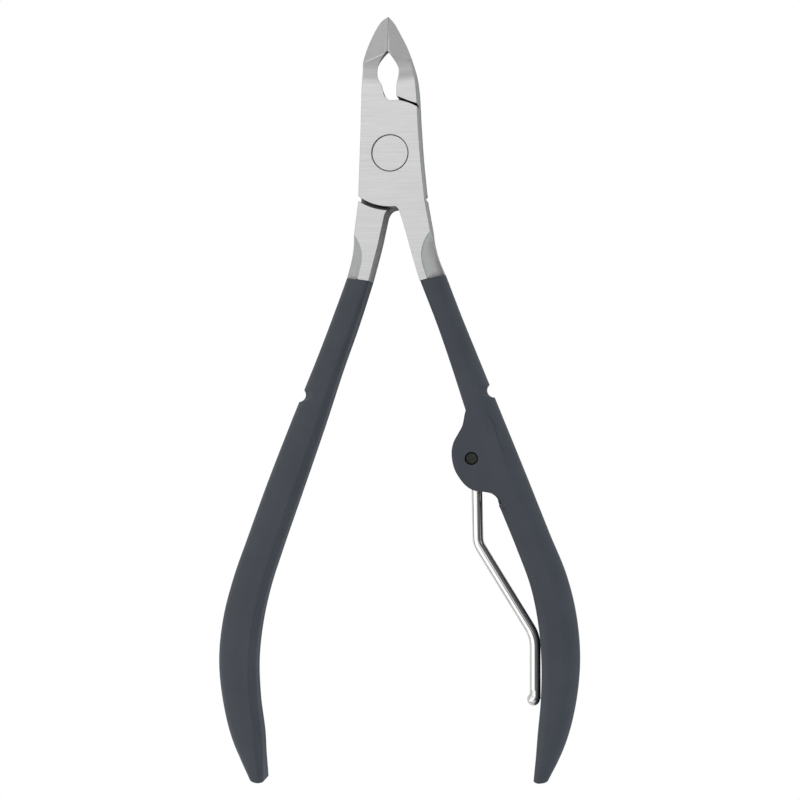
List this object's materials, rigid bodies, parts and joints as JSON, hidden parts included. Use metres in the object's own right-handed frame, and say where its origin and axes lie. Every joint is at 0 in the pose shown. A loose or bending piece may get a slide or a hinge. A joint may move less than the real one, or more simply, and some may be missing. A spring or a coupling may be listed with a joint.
{
  "type": "cuticle nipper",
  "caption": "Hand nipper with short pointed jaws on a lap joint, two long curved soft-coated handles, and a wire spring that folds out of one handle.",
  "frame": {"origin": "on the rivet's axis, at the back face of the joint, which the nipper rests on", "axes": "+X from the left handle to the right handle, +Y to the jaw tips, +Z out of the front face along the rivet"},
  "size_m": [0.0544, 0.1143, 0.0072],
  "materials": {
    "lever_steel": "satin stainless steel, brushed across the joint and the jaws",
    "rivet_steel": "satin stainless steel, ground flush with the joint",
    "soft_coat": "matte soft-touch coat, dark blue-grey",
    "spring_wire": "bright drawn wire",
    "pin_steel": "dull steel pin, sunk below the coat"
  },
  "bodies": {
    "front": {"front_lever": "lever_steel", "pivot_rivet": "rivet_steel", "right_handle_coat": "soft_coat", "spring_pin": "pin_steel"},
    "back": {"back_lever": "lever_steel", "left_handle_coat": "soft_coat"},
    "spring": {"wire_spring": "spring_wire"}
  },
  "joints": [
    {"name": "jaw_pivot", "type": "hinge", "parent": "front", "child": "back", "pos_m": [0, 0, 0.0029], "axis": [0, 0, -1], "range_deg": [0, 20]},
    {"name": "spring_swing", "type": "hinge", "parent": "front", "child": "spring", "pos_m": [0.0115, -0.0455, 0.0029], "axis": [0, 0, -1], "range_deg": [0, 65]}
  ]
}
